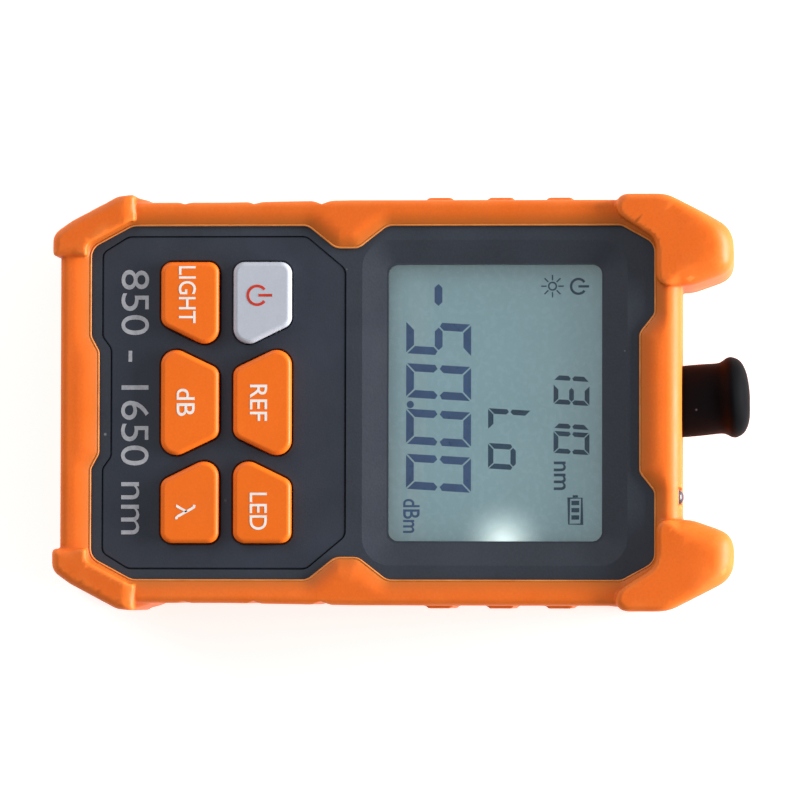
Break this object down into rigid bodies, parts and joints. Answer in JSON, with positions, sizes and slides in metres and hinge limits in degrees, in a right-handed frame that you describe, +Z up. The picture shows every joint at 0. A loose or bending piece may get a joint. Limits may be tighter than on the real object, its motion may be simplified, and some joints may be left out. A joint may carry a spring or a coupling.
{
  "type": "optical power meter",
  "caption": "Hand-held meter for the light power in an optical fibre, with a rubber boot, display, keypad, capped fibre port and battery cover.",
  "frame": {"origin": "middle of the footprint, on the surface that the boot's back rests on", "axes": "+Z up through the display, +Y from the battery end towards the fibre port, +X to the user's right"},
  "size_m": [0.0724, 0.1206, 0.03],
  "materials": {
    "boot_rubber": "matte moulded silicone rubber, orange",
    "case_plastic": "fine spark texture, dark slate grey",
    "panel_plastic": "fine matt film, dark slate grey",
    "key_rubber": "smooth matt, orange",
    "power_key_rubber": "smooth matt, light grey",
    "clear_acrylic": "clear and glossy",
    "foam_gasket": "matt closed-cell foam",
    "display_glass": "grey-green liquid crystal",
    "light_guide": "frosted white",
    "mat_silicone": "translucent grey silicone",
    "frame_plastic": "matt black",
    "circuit_board": "green solder mask",
    "chip_resin": "matt black resin",
    "nickel_brass": "nickel plated",
    "white_ceramic": "ground zirconia",
    "plated_steel": "nickel plated",
    "cap_rubber": "smooth black rubber",
    "lamp_resin": "clear epoxy",
    "cell_sleeve": "plain shrink sleeve",
    "screw_steel": "black zinc"
  },
  "bodies": {
    "root": {"protective_boot": "boot_rubber", "front_shell": "case_plastic", "rear_shell": "case_plastic", "keypad_panel": "panel_plastic", "display_window": "clear_acrylic", "window_gasket": "foam_gasket", "lcd_glass": "display_glass", "backlight_panel": "light_guide", "zebra_strip": "mat_silicone", "lcd_frame": "frame_plastic", "main_board": "circuit_board", "keypad_mat": "mat_silicone", "processor_chip": "chip_resin", "amplifier_chip": "chip_resin", "fibre_adapter": "nickel_brass", "ferrule_sleeve": "white_ceramic", "photodetector": "plated_steel", "adapter_nut": "nickel_brass", "torch_lamp": "lamp_resin", "battery_cell_left": "cell_sleeve", "battery_cell_middle": "cell_sleeve", "battery_cell_right": "cell_sleeve", "battery_spring_left": "plated_steel", "battery_spring_middle": "plated_steel", "battery_spring_right": "plated_steel", "contact_negative": "plated_steel", "contact_positive": "plated_steel", "contact_link_top": "plated_steel", "contact_link_bottom": "plated_steel", "case_screws": "screw_steel", "board_screws": "screw_steel"},
    "light_key": {"key_light": "key_rubber"},
    "decibel_key": {"key_decibel": "key_rubber"},
    "wavelength_key": {"key_wavelength": "key_rubber"},
    "power_key": {"key_power": "power_key_rubber"},
    "reference_key": {"key_reference": "key_rubber"},
    "torch_key": {"key_torch": "key_rubber"},
    "dust_cap_body": {"dust_cap": "cap_rubber"},
    "battery_cover_body": {"battery_cover": "case_plastic"}
  },
  "joints": [
    {"name": "light_key_press", "type": "slide", "parent": "root", "child": "light_key", "axis": [0, 0, -1], "range_m": [0, 0.0008], "stiffness_N_per_m": 150, "springref_m": -0.002, "deforming": ["keypad_mat"]},
    {"name": "decibel_key_press", "type": "slide", "parent": "root", "child": "decibel_key", "axis": [0, 0, -1], "range_m": [0, 0.0008], "stiffness_N_per_m": 150, "springref_m": -0.002, "deforming": ["keypad_mat"]},
    {"name": "wavelength_key_press", "type": "slide", "parent": "root", "child": "wavelength_key", "axis": [0, 0, -1], "range_m": [0, 0.0008], "stiffness_N_per_m": 150, "springref_m": -0.002, "deforming": ["keypad_mat"]},
    {"name": "power_key_press", "type": "slide", "parent": "root", "child": "power_key", "axis": [0, 0, -1], "range_m": [0, 0.0008], "stiffness_N_per_m": 150, "springref_m": -0.002, "deforming": ["keypad_mat"]},
    {"name": "reference_key_press", "type": "slide", "parent": "root", "child": "reference_key", "axis": [0, 0, -1], "range_m": [0, 0.0008], "stiffness_N_per_m": 150, "springref_m": -0.002, "deforming": ["keypad_mat"]},
    {"name": "torch_key_press", "type": "slide", "parent": "root", "child": "torch_key", "axis": [0, 0, -1], "range_m": [0, 0.0008], "stiffness_N_per_m": 150, "springref_m": -0.002, "deforming": ["keypad_mat"]},
    {"name": "dust_cap_pull", "type": "slide", "parent": "root", "child": "dust_cap_body", "axis": [0, 1, 0], "range_m": [0, 0.025]},
    {"name": "battery_cover_swing", "type": "hinge", "parent": "root", "child": "battery_cover_body", "pos_m": [0, -0.0506, 0.0017], "axis": [-1, 0, 0], "range_deg": [0, 50]}
  ]
}
